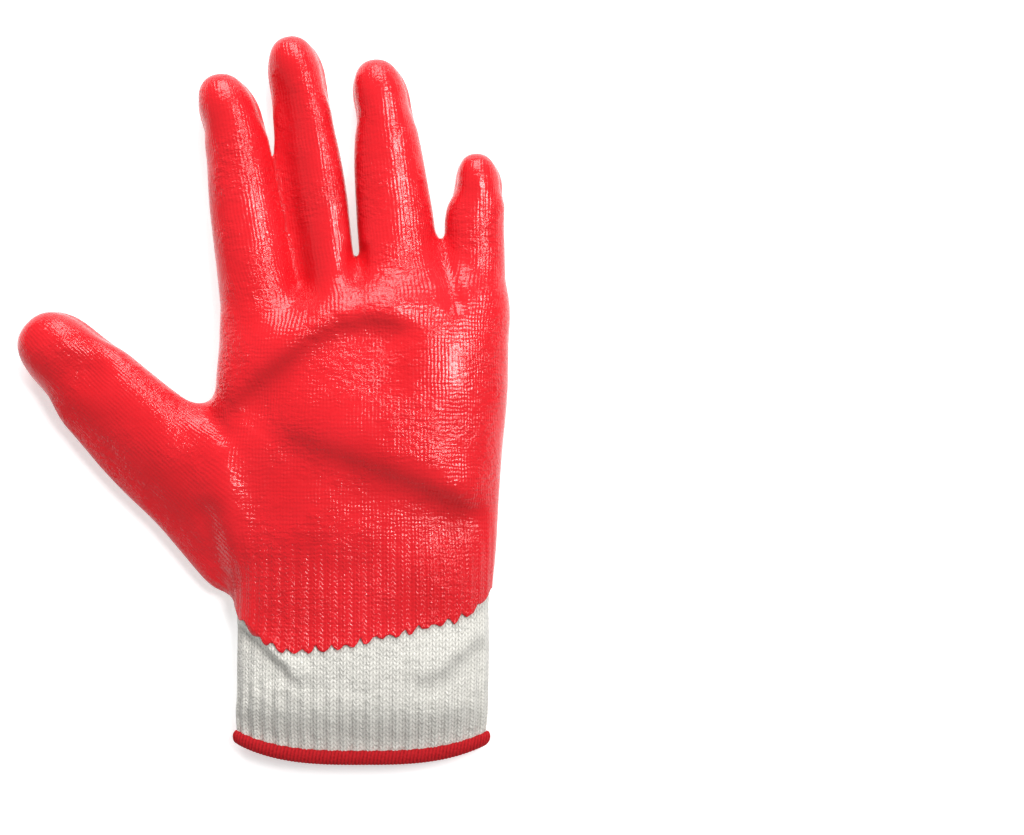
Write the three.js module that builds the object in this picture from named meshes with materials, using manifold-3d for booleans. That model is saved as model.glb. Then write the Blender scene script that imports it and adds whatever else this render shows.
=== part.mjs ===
// A left-hand work glove lying on its back: a knitted liner and rib cuff, hollow, with a dipped coat
// over the palm side and the fingertips, and an overlocked hem round the wrist opening.
// Millimetres. +Y runs to the fingertips, +X to the little finger, +Z out of the palm.
// The hand frame has y = 0 at the hem and x = 0 on the palm's centre line. The finished group is
// moved so that its origin is the middle of the base.

import * as THREE from "three";
import { mergeVertices } from "three/addons/utils/BufferGeometryUtils.js";
import Module from "manifold-3d";

// Palm: outside sizes of the coated hand
const palmWidth = 96.6;
const palmHeight = 24;
const palmLength = 87;

// Rib cuff
const cuffLength = 56;
const cuffWidth = 83.4;
const cuffHeight = 18.5;
const ribPitch = 4.75;
const ribDepth = 0.7;
const wristRatio = 1.025; // the hand's first row over the cuff's width

// Overlocked hem: its height along the cuff, how far it stands proud, and how far its middle bows out
const hemHeight = 4.6;
const hemProud = 1.3;
const hemBow = 6.5;

// Walls
const linerWall = 1.3;
const cuffWall = 2.0;
const coatThickness = 1.0;
const pieceGap = 0.3;
const hemGap = 0.7;

// Dip: how high above the table the coat stops on the sides, and how much of each tip it wraps
const dipHeight = 5;
const tipWrap = 14;
const scallopDepth = 1.2;

// Digits, coated: lengths from the finger roots, the thumb's from within the palm, and the width and
// height near a tip. tipLift is how far the curl of a digit raises its tip off the table.
const indexLength = 86;
const middleLength = 98.1;
const ringLength = 89.8;
const littleLength = 61.4;
const thumbLength = 107.6;
const fingerWidth = 20;
const fingerHeight = 14;
const thumbWidth = 28;
const thumbHeight = 15.5;
const tipLift = 2.4;

// across is the root's place as a share of half the palm's width, along as a share of the palm's
// length, lean in degrees to the thumb's side. rootWidth and tipWidth are shares of the digit's
// width, tipTall of its height, rootTall of the palm's height.
const digits = [
  { name: "index", length: indexLength, width: fingerWidth, height: fingerHeight,
    across: -0.652, along: 1.0, lean: 9.6, rootWidth: 1.32, tipWidth: 1.05, rootTall: 0.71, tipTall: 1.03 },
  { name: "middle", length: middleLength, width: fingerWidth, height: fingerHeight,
    across: -0.182, along: 1.0, lean: 8.2, rootWidth: 1.04, tipWidth: 0.96, rootTall: 0.75, tipTall: 1.0 },
  { name: "ring", length: ringLength, width: fingerWidth, height: fingerHeight,
    across: 0.296, along: 1.0, lean: 6.1, rootWidth: 1.48, tipWidth: 0.99, rootTall: 0.75, tipTall: 1.0 },
  { name: "little", length: littleLength, width: fingerWidth, height: fingerHeight,
    across: 0.785, along: 0.96, lean: 0.3, rootWidth: 0.98, tipWidth: 0.85, rootTall: 0.605, tipTall: 0.93 },
  { name: "thumb", length: thumbLength, width: thumbWidth, height: thumbHeight,
    across: -0.62, along: 0.16, lean: 47.1, rootWidth: 1.46, tipWidth: 1.0, rootTall: 0.71, tipTall: 1.0 },
];

// Sections along a digit: a share of its length and the share of its taper reached there
const digitSections = [
  { along: 0, taper: 0 },
  { along: 0.2, taper: 0.11 },
  { along: 0.42, taper: 0.35 },
  { along: 0.64, taper: 0.65 },
  { along: 0.82, taper: 0.95 },
];

// Sections of a digit's domed end: a share of the dome's length and of the full width there
const domeSections = [
  { along: 0.45, full: 0.93 },
  { along: 0.75, full: 0.75 },
  { along: 0.92, full: 0.52 },
  { along: 1, full: 0.3 },
];
const domeRoundness = 1.1;

// Palm sections: shares of the palm's length, of half its width on the thumb's side and on the
// little finger's side, and of its height
const palmSections = [
  { along: 0.0, thumbSide: 0.885, littleSide: 0.885, height: 0.76, side: 0.3 },
  { along: 0.08, thumbSide: 0.9, littleSide: 0.905, height: 0.8, side: 0.31 },
  { along: 0.16, thumbSide: 0.91, littleSide: 0.917, height: 0.84, side: 0.33 },
  { along: 0.24, thumbSide: 0.918, littleSide: 0.927, height: 0.88, side: 0.34 },
  { along: 0.32, thumbSide: 0.926, littleSide: 0.935, height: 0.92, side: 0.34 },
  { along: 0.4, thumbSide: 0.938, littleSide: 0.943, height: 0.95, side: 0.34 },
  { along: 0.48, thumbSide: 0.953, littleSide: 0.952, height: 0.97, side: 0.34 },
  { along: 0.56, thumbSide: 0.97, littleSide: 0.962, height: 0.98, side: 0.34 },
  { along: 0.64, thumbSide: 0.986, littleSide: 0.972, height: 0.98, side: 0.34 },
  { along: 0.72, thumbSide: 0.99, littleSide: 0.983, height: 0.98, side: 0.34 },
  { along: 0.8, thumbSide: 0.985, littleSide: 0.995, height: 0.96, side: 0.34 },
  { along: 0.88, thumbSide: 0.975, littleSide: 1.0, height: 0.93, side: 0.34 },
  { along: 0.96, thumbSide: 0.967, littleSide: 1.0, height: 0.88, side: 0.34 },
  { along: 1.04, thumbSide: 0.95, littleSide: 0.988, height: 0.78, side: 0.33 },
  { along: 1.1, thumbSide: 0.92, littleSide: 0.955, height: 0.62, side: 0.3 },
  { along: 1.13, thumbSide: 0.83, littleSide: 0.86, height: 0.46, side: 0.27 },
];

// Cuff sections from the hem to just below the palm: shares of that stretch, of half the cuff's width, and of
// its height. back is how far the back has risen off the table, as a share of the hem's stand-out.
const cuffSections = [
  { along: 0, thumbSide: 0.985, littleSide: 0.98, height: 0.73, side: 0.36, back: 1 },
  { along: 0.12, thumbSide: 1.0, littleSide: 0.985, height: 0.82, side: 0.38, back: 0.4 },
  { along: 0.25, thumbSide: 1.005, littleSide: 0.99, height: 0.94, side: 0.39, back: 0 },
  { along: 0.38, thumbSide: 0.985, littleSide: 0.995, height: 1.0, side: 0.39, back: 0 },
  { along: 0.51, thumbSide: 0.985, littleSide: 1.0, height: 0.99, side: 0.39, back: 0 },
  { along: 0.64, thumbSide: 0.99, littleSide: 1.0, height: 0.97, side: 0.39, back: 0 },
  { along: 0.77, thumbSide: 1.0, littleSide: 1.0, height: 0.97, side: 0.39, back: 0 },
  { along: 0.89, thumbSide: 1.0, littleSide: 1.0, height: 0.94, side: 0.39, back: 0 },
];

// Hem sections: a share of the hem's height and of its stand-out
const hemSections = [
  { up: 0, proud: 0.55 },
  { up: 0.25, proud: 0.9 },
  { up: 0.55, proud: 1 },
  { up: 0.85, proud: 0.85 },
  { up: 1, proud: 0.6 },
];

// Folds of the palm side. A step is higher on its finger side than on its wrist side, a valley is
// sunk. x is a share of half the palm's width, y a share of the palm's length from the cuff's top
// (below zero on the cuff), bow, width, reach and depth are shares of the palm's height.
const folds = [
  { kind: "step", x0: -0.86, y0: 0.7, x1: 0.33, y1: 1.02, bow: 0.3, width: 0.28, reach: 0.6, depth: 0.13 },
  { kind: "step", x0: -0.52, y0: 0.62, x1: 0.8, y1: 0.33, bow: 0.0, width: 0.42, reach: 0.75, depth: 0.17 },
  { kind: "valley", x0: -1.02, y0: 0.32, x1: -0.9, y1: 0.0, bow: 0.0, width: 0.22, reach: 0, depth: 0.13 },
  { kind: "step", x0: -0.78, y0: -0.12, x1: -0.5, y1: -0.34, bow: 0.12, width: 0.16, reach: 0.4, depth: 0.1 },
  { kind: "valley", x0: 0.45, y0: -0.33, x1: 0.84, y1: -0.17, bow: 0.0, width: 0.2, reach: 0, depth: 0.1 },
];

// Wrist edge of the coat: shares of half the wrist's width and of the cuff's length
const dipEdge = [
  { x: -1.08, y: 1.0 },
  { x: -0.92, y: 0.873 },
  { x: -0.71, y: 0.734 },
  { x: -0.45, y: 0.687 },
  { x: -0.14, y: 0.712 },
  { x: 0.24, y: 0.782 },
  { x: 0.72, y: 0.868 },
  { x: 0.96, y: 0.99 },
  { x: 1.08, y: 1.1 },
];

const pointsRoundDigit = 12;
const pointsRoundDigitInside = 10;
const pointsRoundPalm = 28;
const pointsRoundWrist = 36;
const squareness = 2.5;
const flatBack = 1.12;
const digitSide = 0.47;
const coatedFrom = 4;

const latexRed = new THREE.MeshStandardMaterial({ color: 0xf5383e, roughness: 0.32, metalness: 0 });
const knitCream = new THREE.MeshStandardMaterial({ color: 0xe4e2d9, roughness: 0.95, metalness: 0 });
const ribCream = new THREE.MeshStandardMaterial({ color: 0xdedcd2, roughness: 0.95, metalness: 0 });
const hemRed = new THREE.MeshStandardMaterial({ color: 0xb12025, roughness: 0.8, metalness: 0 });

const wasm = await Module();
wasm.setup();

const { clamp, lerp, degToRad, smoothstep } = THREE.MathUtils;
const coatBuild = coatThickness + pieceGap;
const halfPalm = palmWidth / 2;
const halfCuff = cuffWidth / 2;
const halfWrist = (wristRatio * cuffWidth) / 2;
const handLength = cuffLength + palmLength + middleLength;
const ribCount = Math.round((2 * (cuffWidth + cuffHeight)) / ribPitch);
const pointsRoundCuff = 2 * ribCount;

// A closed geometry through rings of equally many points, with a flat cap at each end
function skinRings(rings) {
  const around = rings[0].length;
  const middleOf = (ring) => ring.reduce((sum, p) => sum.add(p), new THREE.Vector3()).divideScalar(around);
  const points = [...rings.flat(), middleOf(rings[0]), middleOf(rings[rings.length - 1])];
  const start = points.length - 2;
  const end = points.length - 1;
  const lastRing = (rings.length - 1) * around;
  const faces = [];
  for (let j = 0; j < around; j++) {
    const k = (j + 1) % around;
    for (let i = 0; i < rings.length - 1; i++) {
      const a = i * around;
      const b = a + around;
      faces.push(a + j, a + k, b + j, a + k, b + k, b + j);
    }
    faces.push(start, k, j, end, lastRing + j, lastRing + k);
  }
  const geometry = new THREE.BufferGeometry().setFromPoints(points);
  geometry.setIndex(faces);
  return geometry;
}

// A three.js geometry as a solid for joining and cutting
function solid(geometry) {
  const bare = geometry.clone();
  bare.deleteAttribute("normal");
  bare.deleteAttribute("uv");
  const merged = mergeVertices(bare, 1e-4);
  const vertProperties = new Float32Array(merged.attributes.position.array);
  const triVerts = new Uint32Array(merged.index.array);
  return new wasm.Manifold(new wasm.Mesh({ numProp: 3, vertProperties, triVerts }));
}

function joined(solids) {
  return solids.reduce((sum, next) => sum.add(next));
}

function meshOf(name, body, material) {
  const { vertProperties, triVerts } = body.getMesh();
  const geometry = new THREE.BufferGeometry();
  geometry.setAttribute("position", new THREE.BufferAttribute(new Float32Array(vertProperties), 3));
  geometry.setIndex(new THREE.BufferAttribute(new Uint32Array(triVerts), 1));
  geometry.computeVertexNormals();
  const mesh = new THREE.Mesh(geometry, material);
  mesh.name = name;
  return mesh;
}

// One superellipse section, grown outwards by grow and cut flat at its base, as points with their
// place across, their height, and topness: 0 on the sides and back, 1 at the top
function section({ half, side, top, base, grow }, around, rib) {
  return Array.from({ length: around }, (_, j) => {
    const turn = -((j + 0.5) / around) * 2 * Math.PI;
    const c = Math.cos(turn);
    const s = Math.sin(turn);
    const out = j % 2 ? grow - rib : grow;
    const rise = Math.abs(s) ** (2 / squareness);
    const across = Math.sign(c) * Math.abs(c) ** (2 / squareness);
    const above = side + (top - side + out) * rise;
    const below = Math.max(side - (side - base + out) * flatBack * rise, base - out);
    return { x: across * (half + out), base: across * half, z: s > 0 ? above : below, topness: s > 0 ? rise : 0 };
  });
}

// How much the palm side rises or sinks at a point of the hand frame, from all the folds
function relief(x, y) {
  let lift = 0;
  for (const fold of folds) {
    const from = new THREE.Vector2(fold.x0 * halfPalm, cuffLength + fold.y0 * palmLength);
    const run = new THREE.Vector2(fold.x1 * halfPalm, cuffLength + fold.y1 * palmLength).sub(from);
    const length = run.length();
    const offset = new THREE.Vector2(x, y).sub(from);
    const share = offset.dot(run) / length ** 2;
    const bowed = fold.bow * palmHeight * 4 * share * (1 - share);
    const beside = run.cross(offset) / length - bowed;
    const ends = smoothstep(share, -0.12, 0.18) * smoothstep(1 - share, -0.12, 0.18);
    const near = beside / (fold.width * palmHeight);
    const fade = Math.exp(-Math.abs(beside) / (fold.reach * palmHeight));
    const wave = fold.kind === "step" ? Math.tanh(2 * near) * fade : -Math.exp(-near * near);
    lift += fold.depth * palmHeight * ends * wave;
  }
  return lift;
}

// Sets the hem's sides back from its middle, fading out up the cuff, on a finished mesh
function bowed(mesh) {
  const positions = mesh.geometry.attributes.position;
  for (let i = 0; i < positions.count; i++) {
    const share = Math.min(Math.abs(positions.getX(i)) / halfCuff, 1);
    const y = positions.getY(i);
    positions.setY(i, y + hemBow * share ** 3 * (1 - smoothstep(y, 0, 0.68 * cuffLength)));
  }
  mesh.geometry.computeVertexNormals();
  return mesh;
}

// The liner's own sizes at a row of the palm's table; the lower rows follow the wrist's width
function palmRow(row) {
  const narrow = halfWrist / palmSections[0].littleSide;
  const wide = lerp(narrow, halfPalm, smoothstep(row.along, 0, 0.4));
  return {
    y: cuffLength + row.along * palmLength,
    middle: (row.littleSide - row.thumbSide) * 0.5 * wide,
    half: (row.littleSide + row.thumbSide) * 0.5 * wide - coatBuild,
    side: row.side * palmHeight,
    top: row.height * palmHeight - coatBuild,
    base: 0,
  };
}

// The cuff's own sizes at a row of its table
function cuffRow(row) {
  return {
    y: lerp(hemHeight + hemGap, cuffLength, row.along),
    middle: (row.littleSide - row.thumbSide) * 0.5 * halfCuff,
    half: (row.littleSide + row.thumbSide) * 0.5 * halfCuff,
    side: row.side * cuffHeight,
    top: row.height * cuffHeight,
    base: row.back * hemProud,
  };
}

// A closed tube through rows of sections, with the palm side's folds
function tube(rows, around, rib = 0) {
  return solid(skinRings(rows.map((row) => section(row, around, rib).map(({ x, base, z, topness }) =>
    new THREE.Vector3(row.middle + x, row.y, z + topness * relief(row.middle + base, row.y))))));
}

// The palm's tube, made longer at the wrist
function palmTube(grow, below) {
  const rows = palmSections.map((row) => ({ ...palmRow(row), grow }));
  rows[rows.length - 1].y += grow;
  if (below > 0) rows.unshift({ ...rows[0], y: rows[0].y - below });
  return tube(rows, pointsRoundPalm);
}

// The cuff's tube from a row of its table up to the palm's first section, made longer at its ends
function cuffTube({ grow, first = 0, below = 0, above = 0, rib = 0 }) {
  const rows = [...cuffSections.slice(first).map(cuffRow), palmRow(palmSections[0])].map((row) => ({ ...row, grow }));
  const end = rows[rows.length - 1];
  if (below > 0) rows.unshift({ ...rows[0], y: rows[0].y - below });
  if (above > 0) rows.push({ ...end, y: end.y + above });
  return tube(rows, rib ? pointsRoundCuff : pointsRoundWrist, rib);
}

// Where a digit starts and which way it points
function digitAxis(size) {
  const lean = degToRad(size.lean);
  const root = new THREE.Vector3(size.across * halfPalm, cuffLength + size.along * palmLength, 0);
  const axis = new THREE.Vector3(-Math.sin(lean), Math.cos(lean), 0);
  const across = new THREE.Vector3(Math.cos(lean), Math.sin(lean), 0);
  return { root, axis, across };
}

// One digit: tapered sections along its axis and a domed end
function digit(size, grow) {
  const around = grow < 0 ? pointsRoundDigitInside : pointsRoundDigit;
  const { root, axis, across } = digitAxis(size);
  const widths = [size.rootWidth * size.width, size.tipWidth * size.width];
  const heights = [size.rootTall * palmHeight, size.tipTall * size.height];
  const dome = (widths[1] / 2) * domeRoundness;
  const shaft = size.length - coatBuild - dome;
  const stations = [
    ...digitSections.map(({ along, taper }) => ({ at: along * shaft - (along ? 0 : grow), taper, full: 1 })),
    ...domeSections.map(({ along, full }) => ({ at: shaft + along * (dome + grow), taper: 1, full })),
  ];
  return solid(skinRings(stations.map(({ at, taper, full }) => {
    const tall = lerp(...heights, taper) - coatBuild;
    const half = (lerp(...widths, taper) / 2 - coatBuild) * full;
    const lift = tipLift * smoothstep(at / size.length, 0.35, 0.85);
    const side = lift + tall * digitSide;
    const top = side + tall * (1 - digitSide) * full;
    const base = side - tall * digitSide * full;
    return section({ half, side, top, base, grow }, around, 0).map(({ x, z }) =>
      root.clone().addScaledVector(axis, at).addScaledVector(across, x).setZ(z));
  })));
}

// The whole hand grown by an amount: the palm's tube and its five digits
function hand(grow, below) {
  return joined([palmTube(grow, below), ...digits.map((size) => digit(size, grow))]);
}

// Everything above a height of the hand frame, as a block to cut with
function blockAbove(y) {
  const block = new THREE.BoxGeometry(4 * handLength, 2 * handLength, handLength);
  return solid(block.translate(0, y + handLength, 0));
}

// The height of the coat's wrist edge at a place across the cuff
function edgeAt(x) {
  const share = clamp(x / halfWrist, dipEdge[0].x, dipEdge[dipEdge.length - 1].x);
  const next = Math.max(1, dipEdge.findIndex((row) => row.x >= share));
  const from = dipEdge[next - 1];
  const to = dipEdge[next];
  return cuffLength * lerp(from.y, to.y, (share - from.x) / (to.x - from.x));
}

// What the dip reached: all above a level over the table and past the scalloped wrist edge, and
// each fingertip right round
function dipped() {
  const outline = new THREE.Shape();
  const start = dipEdge[0].x * halfWrist;
  const steps = Math.round((4 * halfWrist * dipEdge[dipEdge.length - 1].x) / ribPitch);
  outline.moveTo(-handLength, 2 * handLength);
  outline.lineTo(-handLength, edgeAt(start));
  for (let i = 0; i <= steps; i++) {
    const x = start - (2 * start * i) / steps;
    outline.lineTo(x, edgeAt(x) + (i % 2 ? scallopDepth : 0));
  }
  outline.lineTo(handLength, edgeAt(-start));
  outline.lineTo(handLength, 2 * handLength);
  const palmSide = new THREE.ExtrudeGeometry(outline, { depth: handLength, bevelEnabled: false });
  const tips = digits.map((size) => {
    const { root, axis } = digitAxis(size);
    const middle = root.addScaledVector(axis, size.length + tipWrap / 2);
    const width = size.tipWidth * size.width + 2 * pieceGap;
    const block = new THREE.BoxGeometry(width, 3 * tipWrap, 4 * size.height);
    return solid(block.rotateZ(degToRad(size.lean)).translate(middle.x, middle.y, 0));
  });
  return joined([solid(palmSide.translate(0, 0, dipHeight)), ...tips]);
}

function knitLiner() {
  const outside = hand(0, 0);
  const inside = hand(-linerWall, linerWall);
  return meshOf("knit_liner", outside.subtract(inside).intersect(blockAbove(cuffLength + pieceGap)), knitCream);
}

function ribCuff() {
  const outside = cuffTube({ grow: 0, rib: ribDepth });
  const inside = cuffTube({ grow: -cuffWall, below: cuffWall, above: cuffWall });
  return bowed(meshOf("rib_cuff", outside.subtract(inside), ribCream));
}

// The coat: the hand and the cuff's upper part, grown by the gap and by the coat, where dipped
function latexCoat() {
  const skin = (grow) => joined([
    hand(grow, coatBuild),
    cuffTube({ grow, first: coatedFrom, rib: ribDepth }),
  ]);
  return meshOf("latex_coat", skin(coatBuild).subtract(skin(pieceGap)).intersect(dipped()), latexRed);
}

// The hem: a padded ring over the cuff's raw edge, rounded inside and out
function overlockHem() {
  const edge = cuffRow(cuffSections[0]);
  const ring = (grow, up) => ({ ...edge, grow, y: up * hemHeight });
  const outside = hemSections.map(({ up, proud }) => ring(proud * hemProud, up));
  const bore = hemSections.map(({ up, proud }) => ring(-cuffWall - proud * hemProud, up));
  bore.unshift({ ...bore[0], y: -hemProud });
  bore.push({ ...bore[bore.length - 1], y: hemHeight + hemProud });
  const padded = tube(outside, pointsRoundWrist).subtract(tube(bore, pointsRoundWrist));
  return bowed(meshOf("overlock_hem", padded, hemRed));
}

const glove = new THREE.Group();
glove.add(knitLiner(), ribCuff(), latexCoat(), overlockHem());
const centre = new THREE.Box3().setFromObject(glove).getCenter(new THREE.Vector3());
glove.position.set(-centre.x, -centre.y, 0);
glove.updateMatrixWorld(true);

export default glove;
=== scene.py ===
"""A left-hand work glove lying palm up: string-knit liner, rib cuff, overlocked hem, red latex coat."""
import bpy
import numpy as np
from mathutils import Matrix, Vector


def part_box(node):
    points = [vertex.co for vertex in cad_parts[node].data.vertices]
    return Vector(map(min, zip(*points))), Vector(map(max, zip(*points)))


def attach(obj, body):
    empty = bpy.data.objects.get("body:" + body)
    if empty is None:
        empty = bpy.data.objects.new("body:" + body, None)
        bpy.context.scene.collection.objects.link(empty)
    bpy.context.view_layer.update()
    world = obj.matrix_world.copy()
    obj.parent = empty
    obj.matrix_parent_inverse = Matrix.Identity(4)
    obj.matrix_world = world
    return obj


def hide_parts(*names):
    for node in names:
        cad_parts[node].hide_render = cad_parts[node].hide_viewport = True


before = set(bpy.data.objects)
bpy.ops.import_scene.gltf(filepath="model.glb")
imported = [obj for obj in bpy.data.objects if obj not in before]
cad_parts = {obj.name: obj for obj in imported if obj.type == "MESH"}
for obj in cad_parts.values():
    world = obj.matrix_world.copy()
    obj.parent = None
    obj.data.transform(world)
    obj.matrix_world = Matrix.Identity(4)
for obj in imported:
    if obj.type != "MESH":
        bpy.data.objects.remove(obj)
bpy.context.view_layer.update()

# Stage: a white table top, soft daylight from beyond the fingertips, a small lamp at the upper right
# and a camera straight overhead. The photograph's middle lies to the right of the glove.
PHOTO_WIDTH = 0.3362
LENS, SENSOR = 70.0, 36.0
hem_low, hem_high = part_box("overlock_hem")
HAND_ORIGIN = np.array([(hem_low.x + hem_high.x) / 2, hem_low.y, 0.0])
PICTURE_CENTRE = HAND_ORIGIN + np.array([0.0494, 0.1144, 0.012])

camera = bpy.data.objects.new("camera", bpy.data.cameras.new("camera"))
camera.data.lens = LENS
camera.data.sensor_width = SENSOR
camera.location = PICTURE_CENTRE + np.array([0, 0, PHOTO_WIDTH * LENS / SENSOR])
bpy.context.scene.collection.objects.link(camera)
bpy.context.scene.camera = camera
bpy.context.scene.view_settings.view_transform = "Standard"


def soft_light(name, place, size, power):
    """A square area light at a place, turned to face the glove."""
    light = bpy.data.objects.new(name, bpy.data.lights.new(name, "AREA"))
    light.data.size = size
    light.data.energy = power
    light.location = place
    light.rotation_euler = (-Vector(place)).to_track_quat("-Z", "Y").to_euler()
    bpy.context.scene.collection.objects.link(light)


soft_light("window", (0.0, 0.85, 0.5), 0.6, 9.0)
soft_light("lamp", (0.46, 0.22, 0.9), 0.3, 6.0)

world = bpy.data.worlds.new("white_room")
bpy.context.scene.world = world
world.use_nodes = True
world.node_tree.nodes["Background"].inputs["Color"].default_value = (1.0, 1.0, 1.0, 1.0)
world.node_tree.nodes["Background"].inputs["Strength"].default_value = 0.38


def put_mesh(name, points, faces):
    """A mesh object at the origin from points in metres and faces as rows of point numbers."""
    mesh = bpy.data.meshes.new(name)
    mesh.from_pydata(points, [], faces)
    mesh.validate()
    mesh.update()
    piece = bpy.data.objects.new(name, mesh)
    bpy.context.scene.collection.objects.link(piece)
    return piece


TABLE_HALF = 2.5
corners = np.array([[-1, -1, 0], [1, -1, 0], [1, 1, 0], [-1, 1, 0]], float) * TABLE_HALF
table_top = put_mesh("table_top", corners.tolist(), [[0, 1, 2, 3]])


def add(tree, kind, *values, out=0, **settings):
    """Adds a node, fills its inputs in order with numbers or links, and returns one output."""
    made = tree.nodes.new(kind)
    for key, value in settings.items():
        setattr(made, key, value)
    for socket, value in zip(made.inputs, values):
        if isinstance(value, bpy.types.NodeSocket):
            tree.links.new(value, socket)
        elif value is not None:
            socket.default_value = value
    return made.outputs[out]


def maths(tree, operation, *values):
    """A Math node."""
    return add(tree, "ShaderNodeMath", *values, operation=operation)


def blend_colours(tree, share, first, second):
    """The first colour turning into the second as share goes from 0 to 1."""
    made = tree.nodes.new("ShaderNodeMix")
    made.data_type = "RGBA"
    for place, value in ((0, share), (6, first), (7, second)):
        if isinstance(value, bpy.types.NodeSocket):
            tree.links.new(value, made.inputs[place])
        else:
            made.inputs[place].default_value = value
    return made.outputs[2]


def span(tree, value, low, high, to_low=0.0, to_high=1.0):
    """A Map Range node, clamped."""
    return add(tree, "ShaderNodeMapRange", value, low, high, to_low, to_high)


def new_finish(name):
    """An empty material with its Principled BSDF, as a tree and the shader."""
    finish = bpy.data.materials.new(name)
    finish.use_nodes = True
    return finish, finish.node_tree, finish.node_tree.nodes["Principled BSDF"]


finish, tree, shader = new_finish("white_card")
grain = add(tree, "ShaderNodeTexNoise", None, None, 60.0)
tone = blend_colours(tree, grain, (0.9, 0.9, 0.9, 1), (0.93, 0.93, 0.93, 1))
tree.links.new(tone, shader.inputs["Base Color"])
shader.inputs["Roughness"].default_value = 0.9
shader.inputs["Emission Color"].default_value = (1.0, 1.0, 1.0, 1.0)
shader.inputs["Emission Strength"].default_value = 0.4
table_top.data.materials.append(finish)

# Liner: a seamless hand knitted from cream cotton string, five digits and an empty inside.
# One wall thick, it is open at the wrist, where the rib cuff carries on. It shows on the back.
# Lengths are in millimetres: x from the palm's middle, y up from the hem, z up from the table.
COAT_OUT = 1.0
TABLE_CLEAR = 0.1
LINER_WALL = 1.3
CUFF_TOP = 56.0
PALM_ROUND = 2.5
DIGIT_ROUND = 2.1
PALM_Y = [0, 5.3, 8, 17.5, 35, 45, 55, 71, 87, 104, 119, 128, 138, 153, 163, 173, 185]
PALM_LEFT = [41.3, 41.5, 42.5, 41.6, 41.5, 41.3, 41.7, 42.7, 43.7, 45.4, 47.3, 47, 46, 45.4, 46.7,
             47.5, 47.5]
PALM_RIGHT = [40.5, 40.8, 41.5, 41.7, 41.9, 41.9, 41.6, 43.2, 44, 45.2, 46.8, 47.2, 47.3, 47, 46.3,
              45.8, 45.8]
PALM_TOP = [10.8, 10.8, 11.8, 18.2, 18.8, 18.1, 18.3, 20.2, 22, 23.1, 23.5, 23.5, 23.3, 21.5, 18.5,
            15, 12]
PALM_SIDE = [6.6, 6.8, 7.1, 7.3, 7.3, 7.3, 7.3, 7.8, 8.1, 8.2, 8.2, 8.2, 8.2, 8.1, 7.8, 7.2, 6.6]
PALM_END_X = [-48, -31, -19.4, -10, -1.1, 12, 25.4, 38, 48]
PALM_END_Y = [164, 160, 157, 163, 165, 171, 176, 176, 172]
PALM_END_LENGTH = 22.0
# The tables are averaged over these reaches. The underside's curve is a little deeper than the
# space below the widest level, so the table top flattens it.
WIDTH_EASE, TOP_EASE, SIDE_EASE, DIGIT_EASE = 5, 4, 6, 0.04
PALM_UNDER, DIGIT_UNDER = 1.1, 1.08
# Each digit: root x y, tip x y, dome length, how steeply its upper side slopes up to the right, and
# then rows of share along it, left half, right half, top, and lift of its underside.
DIGITS = {
    "index": ((-31.4, 143.1), (-45.6, 226.9), 14.0, 0.0, [
        (-0.15, 13.2, 12.9, 17.5, 0), (0, 13.5, 12.4, 17.2, 0), (0.25, 12.2, 11.9, 16.6, 0),
        (0.5, 11.1, 10.7, 16.3, 0.6), (0.6, 10.2, 10.5, 16.3, 1.2), (0.7, 9.0, 10.0, 16.4, 1.8),
        (0.8, 9.2, 9.9, 16.7, 2.3), (0.85, 9.9, 9.6, 16.8, 2.4), (0.95, 11.0, 8.0, 16.8, 2.4),
        (1.0, 11.6, 7.6, 16.8, 2.4)]),
    "middle": ((-9, 143.1), (-22.9, 239.2), 14.5, 0.7, [
        (-0.15, 14.4, 9.8, 18, 0), (0, 14.4, 9.8, 18, 0), (0.25, 14.4, 9.6, 17.2, 0),
        (0.45, 14.0, 9.9, 16.6, 0.3), (0.6, 11.4, 9.0, 16.3, 0.9), (0.7, 9.4, 8.2, 16.2, 1.8),
        (0.8, 9.8, 8.4, 16.3, 2.3), (0.86, 9.8, 8.6, 16.4, 2.4), (1.0, 10.6, 8.0, 16.4, 2.4)]),
    "ring": ((14.3, 143.1), (4.9, 231.5), 14.0, 0.0, [
        (-0.15, 14.2, 14.2, 18, 0), (0, 13.9, 13.9, 18, 0), (0.25, 12.9, 12.9, 17.2, 0),
        (0.4, 12.2, 12.3, 16.8, 0.3), (0.55, 11.1, 11.3, 16.4, 0.9), (0.65, 10.1, 10.7, 16.3, 1.5),
        (0.75, 8.6, 9.8, 16.3, 2.1), (0.8, 8.3, 9.5, 16.3, 2.3), (0.87, 9.0, 9.2, 16.4, 2.4),
        (1.0, 10.2, 8.4, 16.4, 2.4)]),
    "little": ((38.6, 139.9), (38.2, 200.5), 12.0, 0.05, [
        (-0.2, 9.4, 7.4, 14.0, 0), (0, 9.4, 7.9, 14.3, 0), (0.3, 9.2, 7.8, 14.3, 0),
        (0.5, 10.4, 7.6, 14.4, 0.6), (0.65, 10.6, 7.4, 14.6, 1.4), (0.7, 9.8, 7.7, 14.8, 1.7),
        (0.8, 8.0, 7.6, 15, 2.2), (0.86, 7.4, 7.9, 15.1, 2.4), (1.0, 8.4, 7.2, 15.2, 2.4)]),
    "thumb": ((-30, 70), (-109.9, 144.3), 15.5, 0.3, [
        (-0.06, 17, 9, 15.5, 0), (0, 20.5, 9, 15.5, 0), (0.08, 21.2, 9.5, 16.5, 0),
        (0.31, 18.0, 17.8, 17.3, 0), (0.45, 17.9, 17.6, 17.1, 0.3), (0.55, 17.2, 16.0, 16.9, 0.9),
        (0.69, 15.1, 15.0, 16.9, 1.8), (0.74, 14.7, 14.7, 17, 2.1), (0.83, 12.2, 13.7, 17.4, 2.4),
        (0.9, 11.8, 13.2, 17.7, 2.4), (1.0, 11.6, 13.0, 17.8, 2.4)]),
}
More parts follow.
